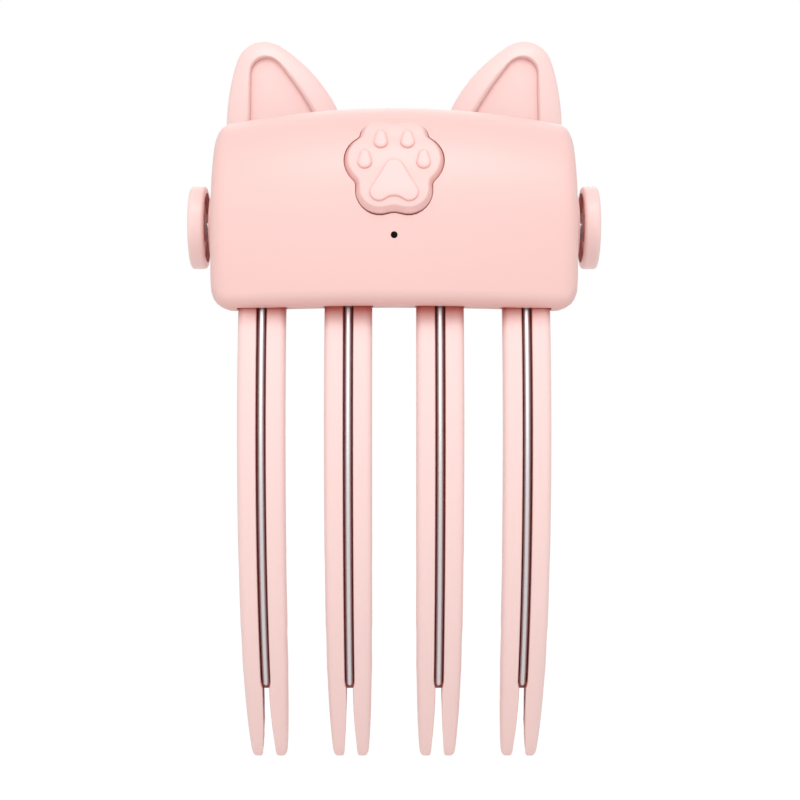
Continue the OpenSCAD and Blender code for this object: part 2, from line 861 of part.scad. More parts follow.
module rear_jaw() {
    color(pink)
    difference() {
        union() {
            across(jaw_half_w) {
                capsule(lever_foot, [0, 0], lever_t);
                capsule([0, 0], lever_knee, lever_t);
                circle(d = barrel_d);
            }
            translate([-half_w, ear_y - lever_t / 2, ear_foot_z])
                cube([2 * half_w, lever_t, 7]);
            ear();
            mirror([1, 0, 0])
                ear();
            for (x = tooth_xs)
                translate([x, 0, 0]) {
                    across(tooth_w / 2)
                        capsule(lever_foot, tooth_root, rear_tooth_t);
                    tooth(rear_face_r, rear_tooth_t, slot_w, tooth_root_z - 1, tooth_root_z);
                }
        }
        rotate([0, 90, 0])
            cylinder(r = pin_r + push_gap, h = 3 * housing_w, center = true);
        translate([-spring_room / 2, -5, -4.2])
            cube([spring_room, 12, 10.7]);
    }
}

knob_x = half_w + boss_h + knob_gap;
pin_seat = 2.2;

module hinge_pin() {
    color(steel)
    rotate([0, 90, 0])
        cylinder(r = pin_r, h = 2 * (knob_x + pin_seat - 0.1), center = true);
}

module knob(s) {
    color(pink)
    translate([s * knob_x, 0, 0])
        rotate([0, s * 90, 0])
        rotate_extrude()
        difference() {
            union() {
                rounded_rect(2, knob_d / 2, 0, knob_t, knob_edge_r);
                square([4, knob_t]);
            }
            translate([-1, -1])
                square([pin_r + push_gap + 1, pin_seat + 1]);
            translate([2.3, -1])
                square([knob_d / 2 - 1.1 - 2.3, 1.8]);
        }
}

module left_knob() {
    knob(-1);
}
module right_knob() {
    knob(1);
}

// Hinge spring: one wire, a leg up the rear cover, the turns and a leg up the lever
coil_r = pin_r + 0.35 + spring_wire_d / 2;
coil_half = spring_turns * spring_pitch / 2;
spring_room = 2 * coil_half + 4.3;
front_leg_len = 9.77;
rear_leg_len = 8.6;
leg_front_a = 106.8 + lean;
leg_rear_a = atan2(lever_knee[1], lever_knee[0]) - 2.2;
// the coil turns backward from the front leg's tangent point to the rear leg's
turn_from = leg_front_a - 90;
turn_sweep = -360 * spring_turns + (leg_rear_a - leg_front_a) + 180;
function on_ring(a, x) = [x, coil_r * cos(a), coil_r * sin(a)];

coil_points = [for (k = [0:8 * spring_turns]) let (f = k / (8 * spring_turns))
    on_ring(turn_from + f * turn_sweep, -coil_half + f * 2 * coil_half)];
spring_points = concat(
    [coil_points[0] + front_leg_len * [0, cos(leg_front_a), sin(leg_front_a)]],
    coil_points,
    [coil_points[len(coil_points) - 1] + rear_leg_len * [0, cos(leg_rear_a), sin(leg_rear_a)]]);

module hinge_spring() {
    color(steel)
    tube(spring_points, spring_wire_d / 2, 6, [1, 0, 0]);
}

front_shell();
rear_cover();
front_comb();
heating_rod_1();
heating_rod_2();
heating_rod_3();
heating_rod_4();
rod_holder();
return_busbar();
live_busbar();
heater_leads();
thermal_sensor();
left_cell();
right_cell();
cell_leads();
circuit_board();
tact_switch();
switch_plunger();
status_led();
indicator_lens();
usb_c_socket();
cover_screws();
paw_button();
rear_jaw();
hinge_pin();
left_knob();
right_knob();
hinge_spring();
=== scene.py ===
"""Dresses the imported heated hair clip: comb, jaw, ears, button, finishes and studio light."""

import bmesh
import bpy
from bpy.props import FloatProperty, FloatVectorProperty, PointerProperty
from math import asin, atan2, cos, degrees, pi, radians, sin, sqrt
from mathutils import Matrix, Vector


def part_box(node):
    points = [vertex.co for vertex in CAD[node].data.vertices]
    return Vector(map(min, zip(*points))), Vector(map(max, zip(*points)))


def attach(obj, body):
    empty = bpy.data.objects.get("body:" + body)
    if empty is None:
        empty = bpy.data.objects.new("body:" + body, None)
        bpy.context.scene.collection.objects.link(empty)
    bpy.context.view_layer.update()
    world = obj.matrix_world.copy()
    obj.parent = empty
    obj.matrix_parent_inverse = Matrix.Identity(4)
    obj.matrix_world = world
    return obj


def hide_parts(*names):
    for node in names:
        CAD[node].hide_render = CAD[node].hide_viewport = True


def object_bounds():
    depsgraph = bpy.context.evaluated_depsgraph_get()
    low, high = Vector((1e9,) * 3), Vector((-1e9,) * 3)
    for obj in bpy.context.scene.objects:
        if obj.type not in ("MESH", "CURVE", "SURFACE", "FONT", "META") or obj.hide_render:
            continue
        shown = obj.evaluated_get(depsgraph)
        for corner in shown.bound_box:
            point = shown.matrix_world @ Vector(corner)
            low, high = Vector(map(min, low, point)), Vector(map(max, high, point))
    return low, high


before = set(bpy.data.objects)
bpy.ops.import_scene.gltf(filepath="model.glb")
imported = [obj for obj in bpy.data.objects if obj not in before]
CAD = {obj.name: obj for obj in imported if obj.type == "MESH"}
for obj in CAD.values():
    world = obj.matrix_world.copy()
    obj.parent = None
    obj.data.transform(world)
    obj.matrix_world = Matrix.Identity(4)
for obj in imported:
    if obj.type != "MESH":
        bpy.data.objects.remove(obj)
CAD_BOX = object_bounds()

bl_info = {
    "name": "Heated Hair Clip",
    "version": (1, 0, 0),
    "blender": (4, 5, 0),
    "location": "3D View > Sidebar > Hair Clip",
    "description": "Models and finishes a heated volumizing hair clip on its packed frame",
    "category": "Add Mesh",
}

# Shapes are written in millimetres, and mm() takes them to Blender's metres
MM = 0.001
# How close points are that lie in one plane, or are one point, in metres
NEAR, SAME = 1e-6, 1e-7


def mm(*values):
    return tuple(value * MM for value in values)


# Modelling by hand: each helper leaves object mode with nothing selected

def clear_selection():
    if bpy.context.mode != "OBJECT":
        bpy.ops.object.mode_set(mode="OBJECT")
    bpy.ops.object.select_all(action="DESELECT")


def take(piece):
    clear_selection()
    piece.select_set(True)
    bpy.context.view_layer.objects.active = piece


class Shaping:
    """Edit mode on one piece, where selections are made by place or angle."""

    def __init__(self, piece):
        self.piece = piece

    def __enter__(self):
        take(self.piece)
        bpy.ops.object.mode_set(mode="EDIT")
        bpy.ops.mesh.select_mode(type="VERT")
        bpy.ops.mesh.select_all(action="DESELECT")
        return self

    def __exit__(self, *_):
        bpy.ops.object.mode_set(mode="OBJECT")
        clear_selection()

    def _mark(self, mode, elements, test):
        bpy.ops.mesh.select_mode(type=mode)
        bpy.ops.mesh.select_all(action="DESELECT")
        mesh = bmesh.from_edit_mesh(self.piece.data)
        for element in getattr(mesh, elements):
            if test(element):
                element.select = True
        mesh.select_flush_mode()
        bmesh.update_edit_mesh(self.piece.data)

    def verts(self, test):
        self._mark("VERT", "verts", lambda v: test(v.co))

    def everything(self):
        bpy.ops.mesh.select_all(action="SELECT")

    def extrude(self, along):
        bpy.ops.mesh.extrude_region_move(TRANSFORM_OT_translate={"value": along})

    def resize(self, factors, about=(0, 0, 0)):
        bpy.ops.transform.resize(value=factors, center_override=about)

    def move(self, by):
        bpy.ops.transform.translate(value=by)

    def spin(self, angle, steps, centre):
        """Spins the selection about an axis along X; the operator counts angles the other way."""
        bpy.ops.mesh.spin(steps=steps, angle=-angle, center=centre, axis=(1, 0, 0))

    def round_edges(self, radius, segments, angle=radians(40), test=lambda a, b: True, profile=0.5):
        """Bevels the edges that are sharper than an angle and whose two ends pass a test."""
        self._mark("EDGE", "edges", lambda e: len(e.link_faces) == 2
                   and e.calc_face_angle(0) > angle and test(e.verts[0].co, e.verts[1].co))
        bpy.ops.mesh.bevel(offset=radius, segments=segments, profile=profile, affect="EDGES")

    def close_up(self):
        """Merges doubles and points every face outwards."""
        bpy.ops.mesh.select_mode(type="VERT")
        self.everything()
        bpy.ops.mesh.remove_doubles(threshold=SAME)
        bpy.ops.mesh.normals_make_consistent(inside=False)
        bpy.ops.mesh.select_all(action="DESELECT")


def named(piece, name):
    piece.name = name
    piece.data.name = name
    return piece


def settled(piece):
    """Puts a piece's place, turn and scale into its mesh."""
    take(piece)
    bpy.ops.object.transform_apply(location=True, rotation=True, scale=True)
    clear_selection()
    return piece


def flat_piece(name, size, place, turn=(0, 0, 0)):
    clear_selection()
    bpy.ops.mesh.primitive_plane_add(size=1, location=place, rotation=turn)
    piece = named(bpy.context.object, name)
    piece.scale = (*size, 1)
    return settled(piece)


def block(name, size, place):
    clear_selection()
    bpy.ops.mesh.primitive_cube_add(size=1, location=place)
    piece = named(bpy.context.object, name)
    piece.scale = size
    return settled(piece)


def cylinder(name, radius, length, sides=48):
    """A cylinder on the hinge axis."""
    clear_selection()
    bpy.ops.mesh.primitive_cylinder_add(vertices=sides, radius=radius, depth=length,
                                        rotation=(0, pi / 2, 0))
    return settled(named(bpy.context.object, name))


def drawn_face(name, points):
    """A filled outline, drawn by extruding one vertex from point to point."""
    piece = flat_piece(name, mm(1, 1), (0, 0, 0))
    with Shaping(piece) as shape:
        shape.everything()
        bpy.ops.mesh.merge(type="CENTER")
        shape.everything()
        shape.move(points[0])
        for here, there in zip(points, points[1:]):
            shape.extrude(tuple(b - a for a, b in zip(here, there)))
        shape.everything()
        bpy.ops.mesh.edge_face_add()
    return piece


def prism(name, points, along):
    """A closed solid: a drawn face, extruded along a vector."""
    piece = drawn_face(name, points)
    with Shaping(piece) as shape:
        shape.everything()
        shape.extrude(along)
        shape.close_up()
    return piece


def loft(name, outlines):
    """A closed solid through outlines of equally many points, each in a plane of its own Y."""
    piece = joined(name, [drawn_face(name, points) for points in outlines])
    planes = [points[0][1] for points in outlines]
    with Shaping(piece) as shape:
        shape.everything()
        bpy.ops.mesh.delete(type="ONLY_FACE")
        for pair in zip(planes, planes[1:]):
            shape.verts(lambda v: min(abs(v.y - y) for y in pair) < NEAR)
            bpy.ops.mesh.bridge_edge_loops()
        for end in (planes[0], planes[-1]):
            shape.verts(lambda v: abs(v.y - end) < NEAR)
            bpy.ops.mesh.edge_face_add()
        shape.close_up()
    return piece


def arc(centre, radius, start, end, steps):
    """Points of a plane arc, its ends included; angles in degrees."""
    turns = [radians(start + (end - start) * k / steps) for k in range(steps + 1)]
    return [(centre[0] + radius * cos(a), centre[1] + radius * sin(a)) for a in turns]


def copy_of(piece, name):
    """A copy of a piece with a mesh of its own."""
    twin = bpy.data.objects.new(name, piece.data.copy())
    bpy.context.scene.collection.objects.link(twin)
    twin.data.name = name
    return twin


def cad_copy(node, name):
    """A copy of a CAD node, whose loose triangles are merged."""
    twin = copy_of(CAD[node], name)
    twin.data.materials.clear()
    with Shaping(twin) as shape:
        shape.everything()
        bpy.ops.mesh.remove_doubles(threshold=2 * SAME)
        bpy.ops.mesh.customdata_custom_splitnormals_clear()
    return twin


def mirrored(piece, name):
    """A copy of a piece on the other side of the middle plane."""
    twin = copy_of(piece, name)
    with Shaping(twin) as shape:
        shape.everything()
        shape.resize((-1, 1, 1))
        shape.close_up()
    return twin


def moved(piece, by):
    with Shaping(piece) as shape:
        shape.everything()
        shape.move(by)
    return piece


def joined(name, pieces):
    clear_selection()
    for piece in pieces:
        piece.select_set(True)
    bpy.context.view_layer.objects.active = pieces[0]
    bpy.ops.object.join()
    clear_selection()
    return named(pieces[0], name)


def repeated(piece, places):
    """One piece made of a piece and its copies, one at each place."""
    name = piece.name
    row = [piece] + [copy_of(piece, name + "_copy") for _ in places[1:]]
    return joined(name, [moved(each, place) for each, place in zip(row, places)])


def cut(piece, cutter, operation="DIFFERENCE"):
    """Cuts a piece with another, or joins them, and deletes the other."""
    take(piece)
    modifier = piece.modifiers.new("Boolean", "BOOLEAN")
    modifier.operation = operation
    modifier.object = cutter
    modifier.solver = "EXACT"
    bpy.ops.object.modifier_apply(modifier=modifier.name)
    clear_selection()
    bpy.data.objects.remove(cutter)


def smoothed(piece, angle=radians(38)):
    take(piece)
    bpy.ops.object.shade_smooth_by_angle(angle=angle)
    clear_selection()
    return piece


def finished(piece, finish, slot, body, *nodes):
    """Gives a piece its finish, its body and the CAD nodes that it stands for."""
    piece.data.materials.clear()
    piece.data.materials.append(finish)
    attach(piece, body)
    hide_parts(*nodes)


def refinish(finish, *nodes):
    """Gives CAD nodes that stay in view a new finish."""
    for node in nodes:
        materials = CAD[node].data.materials
        for index in range(len(materials)):
            materials[index] = finish
        if not materials:
            materials.append(finish)


# Finishes: values in a shader tree, on which plain arithmetic adds Math nodes

class Strand:
    """One socket's value in a node tree."""

    def __init__(self, tree, socket):
        self.tree = tree
        self.socket = socket

    def _math(self, operation, first, second):
        return self.tree.node("ShaderNodeMath", {"operation": operation}, {0: first, 1: second})

    def __add__(self, other):
        return self._math("ADD", self, other)

    def __sub__(self, other):
        return self._math("SUBTRACT", self, other)

    def __rsub__(self, other):
        return self._math("SUBTRACT", other, self)

    def __mul__(self, other):
        return self._math("MULTIPLY", self, other)

    __radd__ = __add__
    __rmul__ = __mul__


class NodeTree:
    """The nodes of a material or a world, which end in one surface."""

    def __init__(self, owner, output):
        owner.use_nodes = True
        self.owner = owner
        self.tree = owner.node_tree
        self.tree.nodes.clear()
        self.output = self.tree.nodes.new(output)

    def node(self, kind, settings=None, inputs=None, output=0):
        """Adds a node and gives one of its outputs."""
        made = self.tree.nodes.new(kind)
        for key, value in (settings or {}).items():
            setattr(made, key, value)
        for key, value in (inputs or {}).items():
            if isinstance(value, Strand):
                self.tree.links.new(value.socket, made.inputs[key])
            else:
                made.inputs[key].default_value = value
        return Strand(self, made.outputs[output])

    def ray(self, kind):
        return self.node("ShaderNodeLightPath", output="Is %s Ray" % kind)

    def ended(self, shader):
        self.tree.links.new(shader.socket, self.output.inputs["Surface"])
        return self.owner


class Finish(NodeTree):
    """A node material."""

    def __init__(self, name):
        super().__init__(bpy.data.materials.new(name), "ShaderNodeOutputMaterial")

    def place(self):
        return self.node("ShaderNodeTexCoord", output="Object")

    def stretched(self, scale):
        return self.node("ShaderNodeMapping", {}, {"Vector": self.place(), "Scale": scale})

    def crevice(self, reach, alone):
        """How closed in a spot is, by its own piece alone or by all: 0 in the open, towards 1
        in a gap."""
        return 1 - self.node("ShaderNodeAmbientOcclusion", {"samples": 6, "only_local": alone},
                             {"Distance": reach}, output="AO")

    def rise(self, start, end):
        """Goes from 0 at one height to 1 at another."""
        height = self.node("ShaderNodeSeparateXYZ", {}, {"Vector": self.place()}, output="Z")
        return self.node("ShaderNodeMapRange", {},
                         {"Value": height, "From Min": start, "From Max": end})

    def noise(self, scale, detail=2.0, rough=0.5, vector=None):
        return self.node("ShaderNodeTexNoise", {}, {
            "Vector": vector or self.place(), "Scale": scale, "Detail": detail,
            "Roughness": rough})

    def blend(self, factor, first, second):
        """Mixes two colours. The node repeats its sockets' names, so these go by number."""
        return self.node("ShaderNodeMix", {"data_type": "RGBA"},
                         {0: factor, 6: first, 7: second}, output=2)

    def mottled(self, noise, colour, dim, bright):
        """A colour that a noise takes from one share of its brightness to another."""
        return self.blend(noise, shade(colour, dim), shade(colour, bright))

    def bump(self, height, strength, distance):
        return self.node("ShaderNodeBump", {},
                         {"Height": height, "Strength": strength, "Distance": distance})

    def surface(self, **inputs):
        """Ends the finish in a Principled shader; names may hold _ for a space."""
        return self.ended(self.node("ShaderNodeBsdfPrincipled", {}, {
            key.replace("_", " "): value for key, value in inputs.items()}))


def tinted(colour, shares):
    """A colour, each channel taken times its own share, as a socket takes it."""
    return tuple(channel * share for channel, share in zip(colour, shares)) + (1.0,)


def shade(colour, factor):
    return tinted(colour, (factor,) * 3)


def varied(base, *swings):
    """A value that noises vary about its base; each swing is a noise and its whole width."""
    for noise, width in swings:
        base = base + (noise - 0.5) * width
    return base


# Heights in metres between which the painted crevice shade comes in. It stays off the teeth's tips,
# which nearly touch the floor
SHADE_FROM, SHADE_FULL = -0.0845, -0.079
# Depth in metres of the grain in plastic and of the fine lines in metal
GRAIN_DEPTH, LINE_DEPTH = 0.00002, 0.00001
# Shares of red, green and blue that a pink keeps in its painted crevice shade
PINK_SHADE = (0.85, 0.6, 0.55)


def moulded_plastic(name, colour, gloss, deep=PINK_SHADE, alone=True, reach=0.003, edge=None):
    """Satin injection-moulded plastic: faint flow clouds, a fine spark-eroded grain, and painted
    shade in crevices: a deeper tone in the Base Color wherever ambient occlusion finds the spot
    closed in. The reach of a crevice is in metres, and so are the two heights of an edge, a painted
    shadow band, from one to the other of which a share of the painted shade comes in."""
    f = Finish(name)
    clouds = f.noise(55, detail=3)
    flow = f.noise(420, rough=0.6)
    grain = f.noise(5200, detail=3, rough=0.62)
    swirl = f.noise(900)
    tone = f.mottled(clouds, colour, 0.985, 1.012)
    tone = f.blend(flow * 0.16, tone, shade(colour, 0.97))
    # Painted shade: occlusion darkens and reddens the Base Color in crevices and gaps
    hollow = (f.crevice(reach, alone) * 1.25 - 0.1) * f.rise(SHADE_FROM, SHADE_FULL)
    # Painted shadow: a band of the same deeper tone between two heights
    if edge:
        start, end, most = edge
        hollow = hollow + f.rise(start, end) * most
    return f.surface(
        Base_Color=f.blend(hollow, tone, tinted(colour, deep)),
        Roughness=varied(gloss, (flow, 0.07), (grain, 0.05)),
        Normal=f.bump(grain + swirl * 0.6, 0.1, GRAIN_DEPTH),
        IOR=1.49)


def drawn_steel(name, colour, rough):
    """Bright drawn wire: fine lines along its length."""
    f = Finish(name)
    lines = f.noise(5200, vector=f.stretched((1, 1, 0.03)))
    stains = f.noise(160, detail=3, rough=0.6)
    return f.surface(
        Base_Color=f.mottled(stains, colour, 0.93, 1.03), Metallic=1.0,
        Roughness=varied(rough, (lines, 0.12), (stains, 0.06)),
        Normal=f.bump(lines, 0.12, LINE_DEPTH))


def plain_metal(name, colour, rough):
    """Machined metal with faint scratches and stains."""
    f = Finish(name)
    stains = f.noise(240, detail=3, rough=0.6)
    scratches = f.noise(2600, vector=f.stretched((1, 0.05, 1)))
    return f.surface(
        Base_Color=f.mottled(stains, colour, 0.9, 1.05), Metallic=1.0,
        Roughness=varied(rough, (scratches, 0.16), (stains, 0.08)),
        Normal=f.bump(scratches, 0.08, LINE_DEPTH))


def dark_lens(name):
    """A nearly black window with a trace of haze."""
    f = Finish(name)
    haze = f.noise(900)
    return f.surface(
        Base_Color=f.blend(haze, (0.003, 0.0025, 0.002, 1), (0.005, 0.004, 0.003, 1)),
        Roughness=0.3 + haze * 0.1, Specular_IOR_Level=0.04)


def solder_mask(name, colour):
    """Circuit board: a green mask with slightly raised copper runs under it."""
    f = Finish(name)
    runs = f.node("ShaderNodeTexBrick", {}, {
        "Vector": f.place(), "Scale": 520, "Mortar Size": 0.035,
        "Brick Width": 0.9, "Row Height": 0.32}, output="Fac")
    clouds = f.noise(300)
    tone = f.mottled(runs * 0.6, colour, 1.0, 1.7)
    return f.surface(
        Base_Color=f.blend(clouds * 0.3, tone, shade(colour, 0.8)),
        Roughness=varied(0.34, (clouds, 0.1)),
        Normal=f.bump(runs, 0.15, 0.00004))


def cell_wrap(name):
    """Pouch cell: satin foil with shallow dents."""
    f = Finish(name)
    dents = f.noise(260, detail=3, rough=0.55)
    return f.surface(
        Base_Color=f.blend(dents, (0.5, 0.51, 0.53, 1), (0.66, 0.67, 0.69, 1)),
        Metallic=0.85, Roughness=varied(0.34, (dents, 0.15)),
        Normal=f.bump(dents, 0.25, 0.0002))


# Sizes and colours that a user would change, and the finishes that use them

class ClipSizes(bpy.types.PropertyGroup):
    """Sizes and colours of the hair clip"""
    front_depth: FloatProperty(
        name="Front tooth depth", description="Front to back depth of the front teeth",
        default=3.6 * MM, unit="LENGTH")
    rear_depth: FloatProperty(
        name="Rear tooth depth", description="Front to back depth of the rear teeth",
        default=2.45 * MM, unit="LENGTH")
    slot_depth: FloatProperty(
        name="Slot depth", description="Depth of the rod slots",
        default=2.1 * MM, unit="LENGTH")
    ear_rim: FloatProperty(
        name="Ear rim", description="Rise of the ear rims from the middle of the ear",
        default=1.85 * MM, unit="LENGTH")
    shell_colour: FloatVectorProperty(
        name="Shell", description="Colour of the housing", subtype="COLOR",
        default=(0.885, 0.568, 0.534))
    comb_colour: FloatVectorProperty(
        name="Comb and jaw", description="Colour of the front comb, rear jaw and knobs",
        subtype="COLOR", default=(0.94, 0.672, 0.642))
    button_colour: FloatVectorProperty(
        name="Button", description="Colour of the paw button", subtype="COLOR",
        default=(0.92, 0.59, 0.56))
    camera_distance: FloatProperty(
        name="Camera distance", description="From the camera to the hinge axis",
        default=0.29, unit="LENGTH")


def sizes():
    return bpy.context.scene.hair_clip


def finish_called(name, make, *values, **options):
    """One finish by name, made the first time that it's asked for."""
    return bpy.data.materials.get(name) or make(name, *values, **options)


# Painted shade: the housing darkens towards its lower rolled edge, and in crevices of its own shape
def shell_plastic():
    return finish_called("shell_plastic", moulded_plastic, tuple(sizes().shell_colour), 0.4,
                         deep=(0.92, 0.64, 0.6), edge=(-0.0126, -0.0152, 0.65))


# Painted shade: a deep red in the ears' grooves, the knobs' recesses and other crevices of the jaw
# and knobs
def jaw_plastic():
    return finish_called("jaw_plastic", moulded_plastic, tuple(sizes().comb_colour), 0.4,
                         deep=(0.7, 0.13, 0.09))


# Painted shadow: the teeth darken just under the housing, where it overhangs them, and in crevices
# between all parts within 6 mm
def comb_plastic():
    return finish_called("comb_plastic", moulded_plastic, tuple(sizes().comb_colour), 0.42,
                         deep=(0.48, 0.11, 0.08), alone=False, reach=0.006,
                         edge=(-0.0182, -0.0146, 0.52))


# Painted shade: the button's walls darken where the housing closes them in
def button_plastic():
    return finish_called("button_plastic", moulded_plastic, tuple(sizes().button_colour), 0.38,
                         alone=False)


# Teeth: every tooth and rod follows an arc about an axis along X

ARC_Y, ARC_Z = 63.6, -34.6
TOOTH_R = 85.0
TOOTH_PLACES = [mm(x, 0, 0) for x in (-21.05, -7.3, 7.3, 21.05)]
# Degrees of arc between the rings of a tooth, and steps round each of its long edges
BEND_STEP, CORNER_STEPS = 1.4, 5
# A prong's inner and outer distance from the middle of its tooth: where the tooth starts, and
# after each height down to the tip. Then the radii of its inner and outer edges
PRONG_TOP = (0.8, 3.8)
PRONG_ROWS = (
    (-55.3, 0.8, 3.76), (-67.3, 0.8, 3.68), (-74.6, 0.8, 3.6), (-75.3, 0.68, 3.59),
    (-75.75, 0.53, 3.58), (-77.7, 0.54, 3.53), (-79.9, 0.6, 3.47), (-81.7, 0.68, 3.4),
    (-83.2, 0.75, 3.33), (-85.5, 0.93, 3.2), (-87.1, 1.04, 3.09))
PRONG_CORNERS = (0.22, 1.1)
# Rounded end of a prong: height, half width and the share of depth kept from the row before.
# Then how far in front of the prong's middle it shrinks to, as a share of the depth
PRONG_CAPS = (
    (-87.7, 0.97, 0.96), (-88.15, 0.89, 0.9), (-88.47, 0.76, 0.83), (-88.68, 0.57, 0.76),
    (-88.8, 0.3, 0.64))
CAP_LEAN = 0.2
# A trimmed prong loses the trim inside and this many times the trim outside, first above and
# then below a height
TRIM_HIGH, TRIM_LOW, TRIM_SPLIT = 1.2, 2, -79
# Half width of the web behind a slot, and how far its back lies inside the prongs'
WEB_HALF, WEB_SETBACK = 0.9, 0.02


def angle_at(z, r):
    return asin((ARC_Z - z) / r)


def on_arc(r, angle):
    return ARC_Y - r * cos(angle), ARC_Z - r * sin(angle)


def swept_bar(name, r_front, depth, rows, corners=(0, 0), caps=()):
    """A bar of the given depth behind radius r_front, spun down the arc. Each row gives a
    height and the bar's inner and outer X there; the first row is the start."""
    r_mid = r_front - depth / 2
    z, x0, x1 = rows[0]
    here = angle_at(z, r_mid)
    middle = (x0 + x1) / 2
    centre = mm(0, ARC_Y, ARC_Z)
    bar = flat_piece(name, mm(x1 - x0, depth), mm(middle, *on_arc(r_mid, here)), (here, 0, 0))
    with Shaping(bar) as shape:
        for side, radius in zip((-1, 1), corners):
            if radius:
                shape.verts(lambda v: (v.x - middle * MM) * side > 0)
                bpy.ops.mesh.bevel(offset=radius * MM, segments=CORNER_STEPS, affect="VERTICES")
        shape.everything()
        for z, left, right in rows[1:]:
            there = angle_at(z, r_mid)
            shape.spin(there - here, max(1, round(degrees(there - here) / BEND_STEP)), centre)
            shape.resize(((right - left) / (x1 - x0), 1, 1), mm((x0 + x1) / 2, 0, 0))
            shape.move(mm(((left + right) - (x0 + x1)) / 2, 0, 0))
            x0, x1, here = left, right, there
        half, middle = (x1 - x0) / 2, (x0 + x1) / 2
        for z, cap_half, kept in caps:
            there = angle_at(z, r_mid)
            shape.spin(there - here, 1, centre)
            shape.resize((cap_half / half, kept, kept),
                         mm(middle, *on_arc(r_mid + CAP_LEAN * depth, there)))
            here, half = there, cap_half
        shape.close_up()
    return bar


def tooth(name, r_front, depth, top, web=None, trim=0.0):
    """Two prongs with round tips. A web, given by its distance behind the front and the
    height where it ends, joins them behind the slot; a trim makes them narrower."""
    rows = [(z, inner + trim, outer - trim * (TRIM_LOW if z < TRIM_SPLIT else TRIM_HIGH))
            for z, inner, outer in ((top, *PRONG_TOP),) + PRONG_ROWS]
    share = (rows[-1][2] - rows[-1][1]) / (PRONG_ROWS[-1][2] - PRONG_ROWS[-1][1])
    caps = [(z, half * share, kept) for z, half, kept in PRONG_CAPS]
    right = swept_bar(name, r_front, depth, rows, PRONG_CORNERS, caps)
    parts = [right, mirrored(right, name + "_left")]
    if web:
        floor, end = web
        parts.append(swept_bar(name + "_web", r_front - floor, depth - floor - WEB_SETBACK,
                               [(z, -WEB_HALF, WEB_HALF) for z in (top, end)]))
    return joined(name, parts)


class HAIRCLIP_OT_housing(bpy.types.Operator):
    """Finish the housing, its cover and the bosses in satin pink plastic"""
    bl_idname = "hairclip.housing"
    bl_label = "Housing"

    def execute(self, context):
        shell = smoothed(cad_copy("front_shell", "housing"), radians(32))
        finished(shell, shell_plastic(), "pink_satin", "front_jaw", "front_shell")
        refinish(shell_plastic(), "rear_cover")
        return {"FINISHED"}


# Height where the front teeth start inside the housing, and where their slots end; then the
# depth and height of the bar that holds them, its place and the radius of its edges
COMB_TOP, SLOT_END = -11.8, -76.5
COMB_BAR, COMB_BAR_PLACE, COMB_BAR_EDGE = (4.3, 3.6), (0, -16.62, -10.75), 0.3


class HAIRCLIP_OT_comb(bpy.types.Operator):
    """Model the front comb: four double-pronged teeth on a bar inside the housing"""
    bl_idname = "hairclip.comb"
    bl_label = "Front comb"

    def execute(self, context):
        s = sizes()
        teeth = repeated(tooth("comb", TOOTH_R, s.front_depth / MM, COMB_TOP,
                               web=(s.slot_depth / MM, SLOT_END)), TOOTH_PLACES)
        low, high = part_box("front_comb")
        bar = block("comb_bar", (high[0] - low[0], *mm(*COMB_BAR)), mm(*COMB_BAR_PLACE))
        with Shaping(bar) as shape:
            shape.round_edges(COMB_BAR_EDGE * MM, 3)
        comb = smoothed(joined("comb", [teeth, bar]))
        finished(comb, comb_plastic(), "comb_pink", "front_jaw", "front_comb")
        return {"FINISHED"}


class HAIRCLIP_OT_rods(bpy.types.Operator):
    """Finish the heating rods and the other metal pieces"""
    bl_idname = "hairclip.rods"
    bl_label = "Rods and metal"

    def execute(self, context):
        refinish(finish_called("rod_steel", drawn_steel, (0.95, 0.95, 0.95), 0.13),
                 "heating_rod_1", "heating_rod_2", "heating_rod_3", "heating_rod_4")
        refinish(finish_called("pin_steel", plain_metal, (0.74, 0.74, 0.76), 0.24),
                 "hinge_pin", "cover_screws", "usb_c_socket", "hinge_spring")
        refinish(finish_called("bar_brass", plain_metal, (0.78, 0.58, 0.26), 0.3),
                 "return_busbar", "live_busbar")
        return {"FINISHED"}


class HAIRCLIP_OT_electrics(bpy.types.Operator):
    """Finish the parts inside the housing"""
    bl_idname = "hairclip.electrics"
    bl_label = "Electrics"

    def execute(self, context):
        refinish(finish_called("dark_plastic", moulded_plastic, (0.022, 0.02, 0.019), 0.5),
                 "rod_holder", "tact_switch", "switch_plunger", "thermal_sensor")
        refinish(finish_called("cell_foil", cell_wrap), "left_cell", "right_cell")
        refinish(finish_called("lead_sleeve", moulded_plastic, (0.45, 0.02, 0.02), 0.4),
                 "heater_leads", "cell_leads")
        refinish(finish_called("board_mask", solder_mask, (0.012, 0.09, 0.035)), "circuit_board")
        refinish(finish_called("led_body", moulded_plastic, (0.85, 0.84, 0.78), 0.25), "status_led")
        refinish(finish_called("black_lens", dark_lens), "indicator_lens")
        return {"FINISHED"}


# Ear outline in X and Z, as arcs: middle, radius, start and end in degrees, and steps
EAR_Y, EAR_FOOT = 9.8, 12.0
EAR_ARCS = (((-34.99, 9.2), 28.0, 5.74, 58.0, 24), ((-22.8, 28.7), 4.96, 58.0, 162.5, 24),
            ((10.58, 18.18), 40.0, 162.5, 188.9, 16))
# The ear is bevelled at this half thickness and then pressed to its own, for a broad low rim.
# The bevel's radius, steps and profile
EAR_FULL = 3.6
EAR_BEVEL, EAR_STEPS, EAR_PROFILE = 3.4, 12, 0.4
# Outline of the sunk field: a long inner side, a narrow tip and an upright outer side. Then
# its half thickness, and the radius of its wall
FIELD_ARCS = (((-62.36, -5.82), 55.0, 19.2, 40.0, 12), ((-22.3, 27.8), 2.7, 40.0, 180.0, 16))
FIELD_FOOT = (-25.25, 12.3)
FIELD_HALF, FIELD_ROUND = 0.85, 0.9


